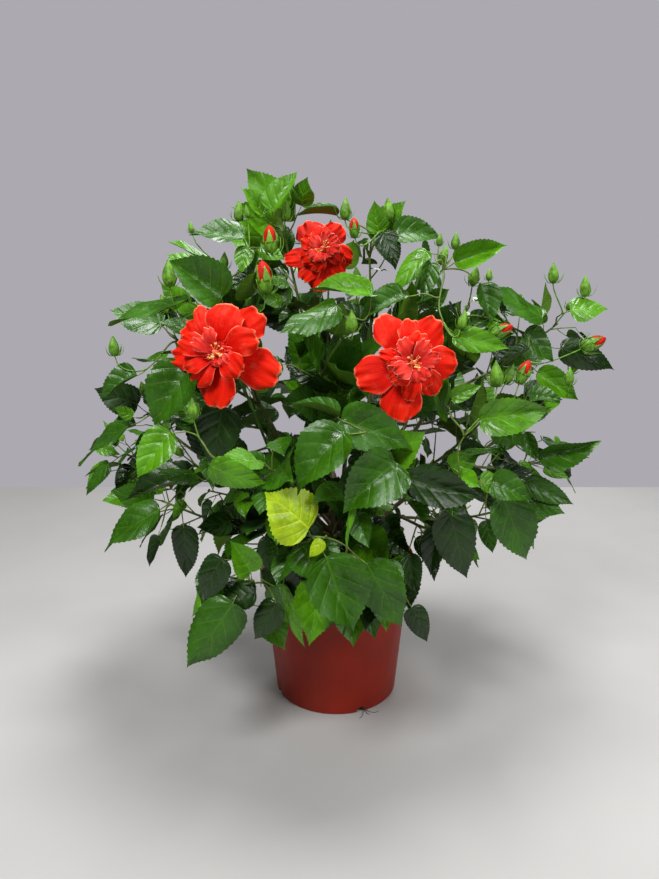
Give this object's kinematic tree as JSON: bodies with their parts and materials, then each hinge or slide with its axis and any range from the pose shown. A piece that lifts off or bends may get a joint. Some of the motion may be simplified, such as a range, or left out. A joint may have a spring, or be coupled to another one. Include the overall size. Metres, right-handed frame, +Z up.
{
  "type": "potted hibiscus shrub",
  "caption": "Bushy evergreen flowering shrub with double red blooms, fanning out from one short woody stem in a tapered plastic nursery pot.",
  "frame": {"origin": "centre of the pot's flat underside", "axes": "+Z straight up, -Y towards the front of the crown where the blooms face, +X to the right seen from the front"},
  "size_m": [0.8652, 0.6956, 0.8259],
  "materials": {
    "pot_plastic": "moulded, satin",
    "potting_mix": "loose and damp",
    "bark": "rough young bark",
    "leaf": "glossy leaf",
    "petal": "soft petal"
  },
  "bodies": {
    "root": {"pot": "pot_plastic", "potting_mix": "potting_mix", "stem": "bark", "bough_top_left": "bark", "bough_top_right": "bark", "bough_upper_left": "bark", "bough_right_high": "bark", "bough_right_far": "bark", "bough_left_middle": "bark", "bough_left_low": "bark", "bough_front_left": "bark", "bough_front_high": "bark", "bough_right_middle": "bark", "bough_right_low": "bark", "bough_front": "bark", "bough_front_low": "bark", "bough_back_left": "bark", "bough_back": "bark", "bough_back_right": "bark", "bough_back_low_left": "bark", "bough_back_low_right": "bark", "foliage_top_left": "leaf", "bloom_top": "petal", "foliage_top_middle": "leaf", "foliage_top_right": "leaf", "foliage_upper_left": "leaf", "foliage_left_high": "leaf", "foliage_right_high": "leaf", "foliage_right_tip": "leaf", "foliage_right_far": "leaf", "foliage_right_out": "leaf", "foliage_left_middle": "leaf", "foliage_left_far": "leaf", "foliage_left_low": "leaf", "foliage_left_under": "leaf", "foliage_left_front": "leaf", "bloom_left": "petal", "foliage_front_high": "leaf", "bloom_right": "petal", "foliage_right_middle": "leaf", "foliage_front_right": "leaf", "foliage_right_low": "leaf", "foliage_right_under": "leaf", "foliage_front_left": "leaf", "foliage_front_middle": "leaf", "foliage_front_low": "leaf", "foliage_foot_right": "leaf", "foliage_back_left_high": "leaf", "foliage_back_left": "leaf", "foliage_back_high": "leaf", "foliage_back_middle": "leaf", "foliage_back_right_high": "leaf", "foliage_back_right": "leaf", "foliage_back_low_left": "leaf", "foliage_back_low": "leaf", "foliage_back_low_middle": "leaf", "foliage_back_low_right": "leaf"}
  },
  "joints": []
}
